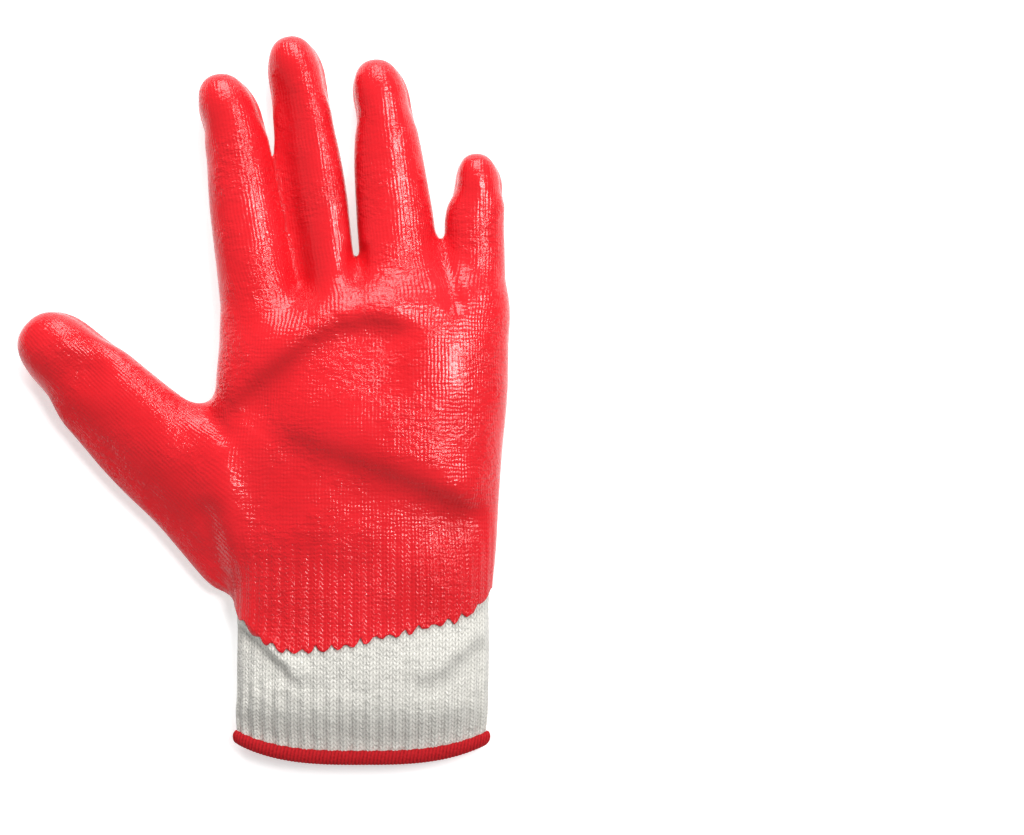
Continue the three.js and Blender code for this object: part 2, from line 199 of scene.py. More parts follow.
NEIGHBOURS = (("middle", "ring"), ("ring", "little"))
FINGER_GAP = 3.7
GAP_ROUND = 2.0
DIGIT_SIDE = 0.47
DIGIT_END = 2.4
# The slope across a digit levels out at RISE_END from its axis, turning over RISE_TURN. It starts
# and is full at these levels from the widest one, and fades over these shares of the length.
RISE_END, RISE_TURN = 4.0, 10.0
RISE_LEVELS, RISE_FADE = (-3, 5), (0.75, 1.0)
# The sides draw in by TIP_SHOULDER above the widest level near the tip.
TIP_SHOULDER = 1.5
SHOULDER_LEVELS, SHOULDER_SHARES = (-3.5, -0.5), (0.72, 0.84)
# A digit starts DIGIT_START behind its root, slimmer by ROOT_SLIM there, and grows from the palm.
DIGIT_START = 6
ROOT_SLIM, ROOT_REACH = 3, (-8, 6)
# How widely the palm is rounded into each finger and the thumb, whose crotch has a curved web.
FINGER_BLEND, THUMB_BLEND = 4.0, 5
WEB_X, WEB_Y, WEB_SIZE, WEB_BLEND = -52, 116, 14, 9
# Folds press in fully above the second level and not at all below the first.
FOLD_LEVELS = (7, 15)
TABLE_ROUND = 1.5
# The palm's wales turn into the fingers' over these heights, and into the thumb's over this margin.
FINGER_WALES, THUMB_WALES = (138, 168), (-2.5, 2.0)
# Folds: points on the crease, kind, width of the break, reach of the swell, depth at start and end.
FOLDS = [
    ([(-46, 111), (-41.6, 116.7), (-33, 126.1), (-22.8, 133.4), (-15.6, 139.5), (-6.1, 144.1),
      (3.9, 145.4), (24, 143)], "step", (8.0, 12.0), 11.0, (4.6, 4.6)),
    ([(-33, 112), (-24.9, 110), (-12.8, 104.7), (0.5, 99.9), (14, 94.6), (27.4, 88.6), (44, 82)],
     "step", (18.0, 10.0), 14.0, (4.0, 6.4)),
    ([(-50, 90), (-49.1, 80.8), (-46.1, 56.5), (-44, 50)], "valley", (5.0, 4.0), 0.0, (1.6, 1.6)),
    ([(-45, 47.5), (-38.6, 45.8), (-33, 41.1), (-29.7, 37.1), (-24.9, 33.2), (-22.9, 29.7), (-22, 25)],
     "step", (2.0, 4.0), 4.5, (2.8, 2.8)),
    ([(16, 26), (21.3, 28.4), (27.4, 31.2), (30.7, 34.5), (36.8, 39.1), (45, 44)],
     "step", (5.0, 4.5), 6.0, (1.6, 2.4)),
    ([(-32, 219), (-28.5, 203), (-24.3, 186), (-20.3, 165), (-18, 149)],
     "valley", (3.0, 3.5), 0.0, (1.5, 2.0)),
    ([(-1.2, 172), (-1.15, 164), (-0.5, 156)], "valley", (3.0, 3.0), 0.0, (3.0, 1.2)),
    ([(25.4, 178), (27, 166), (30.7, 153), (33, 146)], "valley", (3.2, 3.0), 0.0, (3.0, 1.2)),
    ([(-60, 124), (-53, 119), (-46, 112), (-42, 104)], "valley", (3.0, 4.0), 0.0, (2.5, 1.0)),
]
FOLD_FADE = 0.2
# Pads and hollows of the palm side: x, y, how wide, how tall, height.
MOUNDS = [(32, 125, 16, 20, 1.9), (-44, 93, 8, 24, 4.0), (-12, 66, 26, 9, -0.9), (22, 64, 14, 12, 0.8),
          (0, 116, 14, 9, 0.8), (-30, 146, 10, 14, 0.8), (-66, 104, 12, 10, 0.8), (-90, 130, 9, 8, -3.0)]


def smooth_step(value, low, high):
    """0 below low, 1 above high, and an eased S between them."""
    share = np.clip((value - low) / (high - low), 0, 1)
    return share * share * (3 - 2 * share)


def eased(value, places, amounts, reach):
    """A table read with straight lines between its rows, averaged over reach to round the corners."""
    shifts = np.array([-1.0, -0.5, 0.0, 0.5, 1.0]) * reach
    return sum(np.interp(value + shift, places, amounts) for shift in shifts) / len(shifts)


def beside_line(x, y, line):
    """For a broken line: the signed distance to it, positive on its left, and how far along it is
    as a share."""
    line = np.array(line, float)
    lengths = np.linalg.norm(np.diff(line, axis=0), axis=1)
    starts = np.concatenate([[0], np.cumsum(lengths)]) / lengths.sum()
    best = np.full(np.shape(x), 1e9)
    along = np.zeros(np.shape(x))
    for i, length in enumerate(lengths):
        ux, uy = (line[i + 1] - line[i]) / length
        dx, dy = x - line[i, 0], y - line[i, 1]
        share = np.clip((dx * ux + dy * uy) / length, 0, 1)
        ex, ey = dx - share * length * ux, dy - share * length * uy
        gap = np.hypot(ex, ey)
        near = gap < np.abs(best)
        best = np.where(near, np.where(ux * dy - uy * dx >= 0, gap, -gap), best)
        along = np.where(near, starts[i] + share * length / lengths.sum(), along)
    return best, along


def relief(x, y):
    """How much the folds lift or sink the upper side: a step swells on its left and dips on its right
    with tanh times a decay, a valley is one bell-shaped groove, and both fade out at their ends."""
    height = np.zeros(np.shape(x))
    for mound_x, mound_y, wide, tall, rise in MOUNDS:
        height = height + rise * np.exp(-((x - mound_x) / wide) ** 2 - ((y - mound_y) / tall) ** 2)
    for line, kind, widths, reach, depths in FOLDS:
        beside, along = beside_line(x, y, line)
        width = widths[0] + (widths[1] - widths[0]) * along
        depth = depths[0] + (depths[1] - depths[0]) * along
        ends = smooth_step(along, 0, FOLD_FADE) * smooth_step(1 - along, 0, FOLD_FADE)
        if kind == "step":
            wave = np.tanh(2 * beside / width) * np.exp(-np.abs(beside) / reach)
        else:
            wave = -np.exp(-((beside / width) ** 2))
        height = height + ends * depth * wave
    return height


def round_section(across, up, end, power, end_power):
    """How far outside a rounded section: its superellipse measure less one, over its own slope.
    across, up and end are each a share and the length that share is of."""
    (a, a_size), (u, u_size), (e, e_size) = across, up, end
    ring = (np.abs(a) ** power + np.abs(u) ** power) ** (1 / power)
    ring = np.maximum(ring, 1e-3)
    measure = np.maximum((ring ** end_power + e ** end_power) ** (1 / end_power), 1e-3)
    slope_a = (np.abs(a) / ring) ** (power - 1) / a_size
    slope_u = (np.abs(u) / ring) ** (power - 1) / u_size
    on_ring, on_end = (ring / measure) ** (end_power - 1), (e / measure) ** (end_power - 1) / e_size
    slope = np.sqrt(on_ring ** 2 * (slope_a ** 2 + slope_u ** 2) + on_end ** 2)
    return (measure - 1) / np.maximum(slope, 1e-3)


def smaller(a, b, blend):
    """The smaller of two distances, rounded over blend where they meet."""
    share = np.clip(0.5 + 0.5 * (b - a) / blend, 0, 1)
    return b + (a - b) * share - blend * share * (1 - share)


def palm_section(y):
    """The palm and cuff tube at heights y: its middle and half width, its top and its widest level."""
    left, right = (eased(y, PALM_Y, column, WIDTH_EASE) for column in (PALM_LEFT, PALM_RIGHT))
    top, side = eased(y, PALM_Y, PALM_TOP, TOP_EASE), eased(y, PALM_Y, PALM_SIDE, SIDE_EASE)
    return (right - left) / 2, (right + left) / 2, top, side


def palm_distance(x, y, z):
    """Distance outside the palm and cuff tube, with its knit place: across and along."""
    middle, half, top, side = palm_section(y)
    end_y = eased(x, PALM_END_X, PALM_END_Y, WIDTH_EASE)
    across = (x - middle) / half
    height = np.where(z > side, top - side, side * PALM_UNDER)
    up = (z - side) / height
    end = np.maximum(y - end_y + PALM_END_LENGTH, 0) / PALM_END_LENGTH
    distance = round_section((across, half), (up, height), (end, PALM_END_LENGTH), PALM_ROUND, 2)
    return distance, middle + knit_place(x - middle, half, z, side, top), y


def knit_place(beside, half, z, side, top):
    """How far round a section from its upper middle: across, and down the side to its widest level.
    Underneath it runs back the same way, so that it has no jump anywhere."""
    down = np.where(z > side, top - z, top - 2 * side + z)
    return beside + np.sign(beside) * down * np.clip(np.abs(beside) / half, 0, 1) ** 2


def beside_axis(root, tip, x, y):
    """For a digit's axis: how far along it from its root, how far to its right, and its length."""
    root, tip = np.array(root, float), np.array(tip, float)
    length = np.linalg.norm(tip - root)
    ux, uy = (tip - root) / length
    along = (x - root[0]) * ux + (y - root[1]) * uy
    beside = (x - root[0]) * uy - (y - root[1]) * ux
    return along, beside, length


def digit_distance(name, x, y, z):
    """Distance outside one digit, a tube with a domed end, with its knit place."""
    root, tip, dome, rise, rows = DIGITS[name]
    along, beside, length = beside_axis(root, tip, x, y)
    share, left, right, top, lift = np.array(rows).T
    at = along / length
    left, right, top, lift = (eased(at, share, column, DIGIT_EASE) for column in (left, right, top, lift))
    side = lift + (top - lift) * DIGIT_SIDE
    slope = rise * smaller(beside, RISE_END, RISE_TURN) * (1 - smooth_step(at, *RISE_FADE))
    z = z - slope * smooth_step(z - side, *RISE_LEVELS)
    shoulder = TIP_SHOULDER * smooth_step(z - side, *SHOULDER_LEVELS) * smooth_step(at, *SHOULDER_SHARES)
    middle, half = (right - left) / 2, (right + left) / 2 - shoulder
    height = np.where(z > side, top - side, (side - lift) * DIGIT_UNDER)
    up = (z - side) / height
    end = np.maximum(along - length + dome, 0) / dome
    across = ((beside - middle) / half, half)
    distance = round_section(across, (up, height), (end, dome), DIGIT_ROUND, DIGIT_END)
    distance = distance + ROOT_SLIM * smooth_step(-along, *ROOT_REACH)
    begin = -along - DIGIT_START
    across = root[0] + middle + knit_place(beside - middle, half, z, side, top)
    return np.maximum(distance, begin), across, along + root[1]


def hand_distance(points):
    """Distance in mm outside the bare hand: the palm joined softly with each digit, the folds pressed
    into its upper side, a gap kept between neighbours, and the table as its lowest level."""
    x, y, z = points[..., 0], points[..., 1], points[..., 2]
    z = z - relief(x, y) * smooth_step(z, *FOLD_LEVELS)
    apart = {name: digit_distance(name, x, y, z)[0] for name in DIGITS}
    for one, other in NEIGHBOURS:
        between = (apart[one] - apart[other]) / 2
        apart[one] = -smaller(-apart[one], -(between + FINGER_GAP / 2), GAP_ROUND)
        apart[other] = -smaller(-apart[other], -(FINGER_GAP / 2 - between), GAP_ROUND)
    palm = palm_distance(x, y, z)[0]
    whole = palm
    web = WEB_BLEND * np.exp(-((x - WEB_X) / WEB_SIZE) ** 2 - ((y - WEB_Y) / WEB_SIZE) ** 2)
    for name, digit in apart.items():
        blend = THUMB_BLEND + web if name == "thumb" else FINGER_BLEND
        whole = np.minimum(whole, smaller(palm, digit, blend))
    return -smaller(-whole, points[..., 2] - TABLE_CLEAR, TABLE_ROUND)


def knit_coordinates(points):
    """Across and along the knitted wales at each point, for the hand and for the thumb. The palm's
    wales turn smoothly into those of the nearest finger, with a third value that is 1 on fingers.
    The thumb has wales of its own, with a third value that is 1 on it and 0 on the palm."""
    x, y, z = points.T
    palm, across, along = palm_distance(x, y, z)
    digits = [digit_distance(name, x, y, z) for name in DIGITS]
    nearest = np.argmin([part[0] for part in digits[:4]], axis=0)
    finger_across, finger_along = (np.choose(nearest, [part[i] for part in digits[:4]]) for i in (1, 2))
    share = smooth_step(y, *FINGER_WALES)
    across = across + share * (finger_across - across)
    along = along + share * (finger_along - along)
    on_thumb = smooth_step(palm - digits[4][0], *THUMB_WALES)
    return np.stack([across, along, share], 1), np.stack([digits[4][1], digits[4][2], on_thumb], 1)


def skin(distance, low, high, step):
    """The surface where distance is zero, as points and square faces: each grid cell that the surface
    crosses gets one point, the mean of its edges' crossings, and each crossed edge a face of four."""
    axes = [np.arange(a, b + step, step) for a, b in zip(low, high)]
    grid = np.stack(np.meshgrid(*axes, indexing="ij"), axis=-1)
    value = distance(grid)
    inside = value < 0
    offsets = np.array([(i, j, k) for i in (0, 1) for j in (0, 1) for k in (0, 1)])
    size = np.array(value.shape) - 1
    count = sum(inside[i:i + size[0], j:j + size[1], k:k + size[2]].astype(int) for i, j, k in offsets)
    cells = np.argwhere((count > 0) & (count < 8))
    number = np.full(size, -1)
    number[tuple(cells.T)] = np.arange(len(cells))
    at_corner = np.stack([value[tuple((cells + o).T)] for o in offsets], axis=1)
    total, hits = np.zeros((len(cells), 3)), np.zeros((len(cells), 1))
    for a in range(8):
        for b in range(a + 1, 8):
            if np.abs(offsets[a] - offsets[b]).sum() == 1:
                va, vb = at_corner[:, a:a + 1], at_corner[:, b:b + 1]
                crossed = (va < 0) != (vb < 0)
                share = np.where(crossed, va / np.where(crossed, va - vb, 1), 0)
                total += np.where(crossed, offsets[a] + share * (offsets[b] - offsets[a]), 0)
                hits += crossed
    points = np.array(low) + (cells + total / hits) * step
    faces = []
    for axis in range(3):
        other, third = (axis + 1) % 3, (axis + 2) % 3
        first = np.take(inside, range(size[axis]), axis)
        second = np.take(inside, range(1, size[axis] + 1), axis)
        edges = np.argwhere(first != second)
        edges = edges[(edges[:, other] > 0) & (edges[:, third] > 0)]
        edges = edges[(edges[:, other] < size[other]) & (edges[:, third] < size[third])]
        around = []
        for back_other, back_third in ((1, 1), (0, 1), (0, 0), (1, 0)):
            cell = edges.copy()
            cell[:, other] -= back_other
            cell[:, third] -= back_third
            around.append(number[tuple(cell.T)])
        quads = np.stack(around, axis=1)
        outward = first[tuple(edges.T)]
        faces.append(np.where(outward[:, None], quads, quads[:, ::-1]))
    return points, np.concatenate(faces)


def slope_of(distance, points, reach=0.05):
    """The direction in which distance grows, from differences either side of each point."""
    steps = np.eye(3) * reach
    return np.stack([(distance(points + s) - distance(points - s)) / (2 * reach) for s in steps], axis=-1)


EVENING, LEAST_STEEPNESS, LONGEST_STEP = 0.4, 0.05, 0.6


def settle(distance, points, faces, rounds):
    """Moves points onto the surface along its slope, a short step at a time. In all but the last two
    rounds each point first goes part of the way to the mean of its neighbours."""
    pairs = np.concatenate([faces[:, [i, (i + 1) % 4]] for i in range(4)])
    pairs = np.concatenate([pairs, pairs[:, ::-1]])
    degree = np.bincount(pairs[:, 0], minlength=len(points))[:, None]
    for turn in range(rounds):
        total = [np.bincount(pairs[:, 0], points[pairs[:, 1], i], len(points)) for i in range(3)]
        mean = np.stack(total, 1) / degree
        points = points + EVENING * (mean - points) * (turn < rounds - 2)
        slope = slope_of(distance, points)
        steepness = np.maximum((slope ** 2).sum(1, keepdims=True), LEAST_STEEPNESS)
        step = distance(points)[:, None] * slope / steepness
        points = points - np.clip(step, -LONGEST_STEP, LONGEST_STEP)
    return points


def keep_part(points, faces, wanted):
    """Cuts the surface along the line where wanted is zero and keeps the positive side. Each square
    is split in two triangles, and a crossed edge gets one point at its zero."""
    value = wanted(points)
    value = np.where(np.abs(value) < 1e-3, 1e-3, value)
    triangles = np.concatenate([faces[:, [0, 1, 2]], faces[:, [0, 2, 3]]])
    held = value[triangles] > 0
    whole = held.all(1)
    quads_kept = whole[:len(faces)] & whole[len(faces):]
    squares = faces[quads_kept]
    loose = triangles[whole & ~np.tile(quads_kept, 2)]
    cut = triangles[held.any(1) & ~whole]
    few = (value[cut] > 0).sum(1)
    lone = np.where(few == 1, np.argmax(value[cut] > 0, 1), np.argmax(value[cut] <= 0, 1))
    turned = np.stack([cut[np.arange(len(cut)), (lone + i) % 3] for i in range(3)], 1)
    keys = np.concatenate([np.sort(turned[:, [0, 1]], 1), np.sort(turned[:, [0, 2]], 1)])
    edges, place = np.unique(keys, axis=0, return_inverse=True)
    place = place.ravel()
    share = value[edges[:, 0]] / (value[edges[:, 0]] - value[edges[:, 1]])
    new = points[edges[:, 0]] + share[:, None] * (points[edges[:, 1]] - points[edges[:, 0]])
    side_b, side_c = len(points) + place[:len(cut)], len(points) + place[len(cut):]
    tips = np.stack([turned[:, 0], side_b, side_c], 1)[few == 1]
    strips = np.stack([side_b, turned[:, 1], turned[:, 2], side_c], 1)[few == 2]
    points = np.concatenate([points, new])
    used = np.unique(np.concatenate([squares.ravel(), loose.ravel(), tips.ravel(), strips.ravel()]))
    number = np.full(len(points), -1)
    number[used] = np.arange(len(used))
    kept = [number[group].tolist() for group in (squares, strips, loose, tips)]
    return points[used], sum(kept, [])


def in_row_frame(points):
    """Millimetres in the hand's own frame to metres in the row frame."""
    return points / 1000 + HAND_ORIGIN


def note_places(piece, label, places):
    """Keeps a vector at each point of a mesh, under a label that its material reads."""
    noted = piece.data.attributes.new(label, "FLOAT_VECTOR", "POINT")
    noted.data.foreach_set("vector", places.astype(np.float32).ravel())


def dress(name, points, faces, thickness, places, finish, node):
    """A cloth piece from an outer surface: its knit places, its wall and its finish."""
    piece = put_mesh(name, in_row_frame(points), faces)
    piece.data.shade_smooth()
    note_places(piece, "knit", places[0])
    note_places(piece, "thumb_knit", places[1])
    wall = piece.modifiers.new("wall", "SOLIDIFY")
    wall.thickness = thickness / 1000
    wall.offset = -1
    piece.data.materials.append(finish)
    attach(piece, "root")
    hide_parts(node)


def knit_group():
    """Node group: V stitches from a place in mm. Each wale has two legs that lean like a V, and the
    height is the leg's round back; Pocket masks the hole between stitches, for painted shade."""
    group = bpy.data.node_groups.new("knit_stitches", "ShaderNodeTree")
    for name, kind, value in (("Place", "NodeSocketVector", None), ("Wale", "NodeSocketFloat", 2.3),
                              ("Course", "NodeSocketFloat", 1.5), ("Lean", "NodeSocketFloat", 0.8)):
        socket = group.interface.new_socket(name, in_out="INPUT", socket_type=kind)
        if value is not None:
            socket.default_value = value
    for name in ("Height", "Pocket"):
        group.interface.new_socket(name, in_out="OUTPUT", socket_type="NodeSocketFloat")
    given = group.nodes.new("NodeGroupInput").outputs
    result = group.nodes.new("NodeGroupOutput").inputs
    split = group.nodes.new("ShaderNodeSeparateXYZ")
    group.links.new(given["Place"], split.inputs[0])
    wale = maths(group, "DIVIDE", split.outputs[0], given["Wale"])
    beside = maths(group, "ABSOLUTE", maths(group, "SUBTRACT", maths(group, "FRACT", wale), 0.5))
    beside = maths(group, "MULTIPLY", beside, 2.0)
    course = maths(group, "DIVIDE", split.outputs[1], given["Course"])
    leaning = maths(group, "ADD", course, maths(group, "MULTIPLY", beside, given["Lean"]))
    within = maths(group, "ABSOLUTE", maths(group, "SUBTRACT", maths(group, "FRACT", leaning), 0.5))
    round_course = maths(group, "COSINE", maths(group, "MULTIPLY", within, 3.0))
    across = maths(group, "ABSOLUTE", maths(group, "SUBTRACT", beside, 0.5))
    round_leg = maths(group, "COSINE", maths(group, "MULTIPLY", across, 3.0))
    height = maths(group, "MULTIPLY", maths(group, "SQRT", maths(group, "MAXIMUM", round_course, 0)),
                   maths(group, "SQRT", maths(group, "MAXIMUM", round_leg, 0)))
    group.links.new(height, result["Height"])
    # The holes between stitches, where the materials paint shade.
    pocket_shade = maths(group, "MULTIPLY", span(group, within, 0.33, 0.5), span(group, across, 0.3, 0.5))
    group.links.new(pocket_shade, result["Pocket"])
    return group


STITCHES = knit_group()


def stitches(tree, place, wale, course, lean):
    """The knit group placed in a material: its height and its pockets."""
    made = tree.nodes.new("ShaderNodeGroup")
    made.node_tree = STITCHES
    tree.links.new(place, made.inputs["Place"])
    for name, value in (("Wale", wale), ("Course", course), ("Lean", lean)):
        made.inputs[name].default_value = value
    return made.outputs["Height"], made.outputs["Pocket"]


def roughen(tree, shader, raised, strength, distance):
    """Leads a height through a Bump node, whose distance is in metres, to the shader's normal."""
    bump = tree.nodes.new("ShaderNodeBump")
    bump.inputs["Strength"].default_value = strength
    bump.inputs["Distance"].default_value = distance
    tree.links.new(raised, bump.inputs["Height"])
    tree.links.new(bump.outputs[0], shader.inputs["Normal"])


def string_knit(name, light, painted_shade, wale, course):
    """Cotton string: cream stitches with painted shade in the pockets and between the legs,
    slight yarn-to-yarn tone and fibre bump.
    """
    finish, tree, shader = new_finish(name)
    place = add(tree, "ShaderNodeAttribute", attribute_name="knit", out=1)
    height, pocket_shade = stitches(tree, place, wale, course, 0.8)
    where = add(tree, "ShaderNodeTexCoord", out=3)
    patches = add(tree, "ShaderNodeTexNoise", where, None, 160.0, 4.0, 0.7)
    fibres = add(tree, "ShaderNodeTexNoise", where, None, 1600.0, 2.0)
    tone = blend_colours(tree, span(tree, patches, 0.3, 0.7), light, [c * 0.88 for c in light[:3]] + [1])
    # Painted shade: the holes between stitches, and the low ground between the legs, turn towards the
    # shade colour.
    tone = blend_colours(tree, maths(tree, "MULTIPLY", pocket_shade, 0.95), tone, painted_shade)
    shaded = maths(tree, "MULTIPLY", maths(tree, "SUBTRACT", 1.0, height), 0.5)
    tone = blend_colours(tree, shaded, tone, painted_shade)
    tree.links.new(tone, shader.inputs["Base Color"])
    tree.links.new(span(tree, fibres, 0.3, 0.7, 0.82, 0.95), shader.inputs["Roughness"])
    shader.inputs["Sheen Weight"].default_value = 0.25
    raised = maths(tree, "ADD", height, maths(tree, "MULTIPLY", fibres, 0.5))
    raised = maths(tree, "ADD", raised, maths(tree, "MULTIPLY", patches, 5.0))
    roughen(tree, shader, raised, 0.8, 0.0005)
    return finish


WALE, COURSE = 2.3, 1.5
CREAM = (0.89, 0.87, 0.805, 1)
# The colour of the knit's painted shade, in its pockets and between its stitch legs.
CREAM_SHADE = (0.3, 0.285, 0.25, 1)
LOW_CORNER, HIGH_CORNER = (-118, 30, -1.5), (53, 245.5, 29)
LINER_STEP = 1.3
SETTLE_ROUNDS = 4
CUFF_JOINT = 0.3
points, faces = skin(hand_distance, LOW_CORNER, HIGH_CORNER, LINER_STEP)
points = settle(hand_distance, points, faces, SETTLE_ROUNDS)
points, faces = keep_part(points, faces, lambda p: p[:, 1] - (CUFF_TOP + CUFF_JOINT))
liner_knit = string_knit("cream_string_knit", CREAM, CREAM_SHADE, WALE, COURSE)
dress("knitted_hand", points, faces, LINER_WALL, knit_coordinates(points), liner_knit, "knit_liner")

# Coat: red natural latex that the palm side of the knitted hand is dipped in, one thin skin.
# It runs over the palm, round the sides to just above the table and right round each fingertip.
# Its lower edge crosses the cuff in a wavy line, because the latex creeps down the ribs.
COAT_THICKNESS = 0.75
EDGE_SOAK = 0.5
RIB_PITCH = 4.75
DIP_X = [-60, -42, -39.3, -35.3, -30.6, -24.2, -19.2, -12.8, -6.1, 0.5, 10.6, 20.7, 30.7, 36.8, 41.1, 60]
DIP_Y = [58, 51.5, 48.9, 43.8, 41.1, 38.7, 38.4, 39.4, 39.7, 41.7, 43.8, 46.1, 48.6, 50.9, 55.8, 70]
SCALLOP = 2.3
DIP_LEVEL = 4.6
TIP_WRAP, TIP_HALF = 14.0, 16
SOAK_SPAN = (44, 60)


def dipped(points):
    """Positive where latex lies: above the dip line on the palm side, higher than the dip level on the
    sides with a slight wander, and everywhere within reach of a fingertip."""
    x, y, z = points.T
    drop = SCALLOP * (1 + 0.35 * np.sin(0.43 * x + 1) + 0.25 * np.sin(1.7 * x))
    scallops = drop * (0.5 - np.abs(np.sin(np.pi * (x + 0.25 * np.sin(0.8 * x)) / RIB_PITCH)))
    line = y - np.interp(x, DIP_X, DIP_Y) - scallops
    wander = 0.5 * np.sin(0.21 * x + 0.17 * y) + 0.35 * np.sin(0.9 * y - 0.7 * x)
    level = z - DIP_LEVEL - wander
    for root, tip, *_ in DIGITS.values():
        along, beside, length = beside_axis(root, tip, x, y)
        past = along - length + TIP_WRAP + wander
        level = np.maximum(level, np.minimum(past, TIP_HALF - np.abs(beside)))
    return np.minimum(line, level)


def coat_distance(points):
    """Distance outside the coat: the hand's own less the latex, which soaks in towards the cuff."""
    return hand_distance(points) - COAT_OUT + EDGE_SOAK * (1 - smooth_step(points[..., 1], *SOAK_SPAN))


COAT_STEP = 1.05
points, faces = skin(coat_distance, LOW_CORNER, HIGH_CORNER, COAT_STEP)
points = settle(coat_distance, points, faces, SETTLE_ROUNDS)
points, faces = keep_part(points, faces, dipped)

LATEX_RED = (0.75, 0.012, 0.02, 1)
LATEX_DEEP = (0.66, 0.008, 0.014, 1)
# The colour of the latex's painted shade over the knit's stitch pockets.
LATEX_POCKET_SHADE = (0.5, 0.005, 0.01, 1)
finish, tree, shader = new_finish("red_latex")
place = add(tree, "ShaderNodeAttribute", attribute_name="knit", out=1)
where = add(tree, "ShaderNodeTexCoord", out=3)
pocket_shade = stitches(tree, place, WALE, 1.4, 0.5)[1]
patches = add(tree, "ShaderNodeTexNoise", where, None, 45.0, 4.0)
broken = add(tree, "ShaderNodeTexNoise", where, None, 420.0, 3.0)
tone = blend_colours(tree, span(tree, patches, 0.3, 0.7), LATEX_RED, LATEX_DEEP)
# Painted shade: the latex darkens over the stitch pockets.
tone = blend_colours(tree, maths(tree, "MULTIPLY", pocket_shade, 0.5), tone, LATEX_POCKET_SHADE)
tree.links.new(tone, shader.inputs["Base Color"])
tree.links.new(span(tree, broken, 0.3, 0.7, 0.13, 0.24), shader.inputs["Roughness"])
shader.inputs["Specular IOR Level"].default_value = 0.4


LINE_PITCH, COURSE_PITCH = 1.17, 1.35
WRINKLE_HEIGHT = 2.8
RIBS_SHOW = (66, 84)


def latex_relief(tree, place):
    """Height of the latex over the knit, from a place in mm: lines along the wales, courses across
    them that show most on the palm, and the skin's own shallow wrinkles, stretched sideways."""
    split = tree.nodes.new("ShaderNodeSeparateXYZ")
    tree.links.new(place, split.inputs[0])
    wavy = add(tree, "ShaderNodeTexNoise", place, None, 0.25, 3.0)
    shifted = maths(tree, "ADD", split.outputs[0], maths(tree, "MULTIPLY", wavy, 1.2))
    lines = maths(tree, "SINE", maths(tree, "MULTIPLY", shifted, 2 * np.pi / LINE_PITCH))
    climbed = maths(tree, "ADD", split.outputs[1], maths(tree, "MULTIPLY", wavy, 2.4))
    courses = maths(tree, "SINE", maths(tree, "MULTIPLY", climbed, 2 * np.pi / COURSE_PITCH))
    crossed = maths(tree, "MULTIPLY", courses, span(tree, split.outputs[2], 0.2, 0.8, 0.16, 0.05))
    height = stitches(tree, place, RIB_PITCH / 2, COURSE, 0.8)[0]
    rib = maths(tree, "COSINE", maths(tree, "MULTIPLY", split.outputs[0], 2 * np.pi / RIB_PITCH))
    ribbed = maths(tree, "ADD", maths(tree, "MULTIPLY", height, 0.9), maths(tree, "MULTIPLY", rib, 0.8))
    ribbed = maths(tree, "MULTIPLY", ribbed, span(tree, split.outputs[1], *RIBS_SHOW, 1.0, 0.0))
    stretched = add(tree, "ShaderNodeMapping", place, None, None, (0.6, 1.0, 0.0))
    wrinkles = add(tree, "ShaderNodeTexNoise", stretched, None, 0.55, 3.0, 0.6, None, None, 1.2)
    calm = span(tree, add(tree, "ShaderNodeTexNoise", place, None, 0.05, 2.0), 0.42, 0.6, 0.35, 1.5)
    faint = span(tree, add(tree, "ShaderNodeTexNoise", place, None, 0.11, 2.0), 0.4, 0.62, 0.4, 1.0)
    raised = maths(tree, "ADD", maths(tree, "MULTIPLY", lines, 0.2), crossed)
    raised = maths(tree, "MULTIPLY", raised, faint)
    raised = maths(tree, "ADD", raised, ribbed)
    deep = maths(tree, "MULTIPLY", calm, WRINKLE_HEIGHT)
    return maths(tree, "ADD", raised, maths(tree, "MULTIPLY", wrinkles, deep))


thumb_place = add(tree, "ShaderNodeAttribute", attribute_name="thumb_knit", out=1)
split = tree.nodes.new("ShaderNodeSeparateXYZ")
tree.links.new(thumb_place, split.inputs[0])
raised = add(tree, "ShaderNodeMix", split.outputs[2], None,
             latex_relief(tree, place), latex_relief(tree, thumb_place))
raised = maths(tree, "ADD", raised, maths(tree, "MULTIPLY", broken, 0.35))
roughen(tree, shader, raised, 0.8, 0.0002)
dress("latex_skin", points, faces, COAT_THICKNESS, knit_coordinates(points), finish, "latex_coat")

# Cuff: an elastic tube knitted on from the liner, in ribs two wales wide, open at the wrist.
# It bulges, creases and falls to the hem the way slack ribbing does. Its wall closes on itself.
CUFF_LOW = 4.5
CUFF_WALL = 2.0
RIB_DEPTH = 0.85
CUFF_ROUND_POINTS = 528
CUFF_UP_POINTS = 140
CUFF_INSIDE_ROWS = 16
# The tube's section at MIDDLE_SECTION sets the even steps round it, on a length of TUBE_ROUND.
MIDDLE_SECTION, SECTION_STEPS = 25.0, 4001
TUBE_ROUND = 200.0
# The lower edge bows up by HEM_BOW at the sides, fading out over BOW_REACH.
HEM_BOW, BOW_REACH, BOW_HALF = 6.5, 38, 41.7
# Ribs lose RIB_CALM of their depth over the first span and end, with the stitches, over the second.
RIB_CALM, RIB_CALM_SPAN, RIB_END_SPAN = 0.75, (18, 36), (50, 56)
RIB_SHARPNESS = 1.3
STITCH_DEPTH = 0.45
CUFF_FOLD_LEVELS = (5, 13)
TABLE_GAP = 0.05


def tube_section(share, y):
    """Points round the palm and cuff tube at heights y, share going once round from the right side:
    a superellipse whose steps are evened out by the length of the middle section."""
    turn = np.linspace(0, 2 * np.pi, SECTION_STEPS)
    across, up = tube_outline(turn, np.full_like(turn, MIDDLE_SECTION))
    walked = np.concatenate([[0], np.cumsum(np.hypot(np.diff(across), np.diff(up)))])
    angle = np.interp(share, walked / walked[-1], turn)
    return tube_outline(angle, y)


def signed_power(value, power):
    """The power of a value's size, with the value's own sign."""
    return np.sign(value) * np.abs(value) ** power


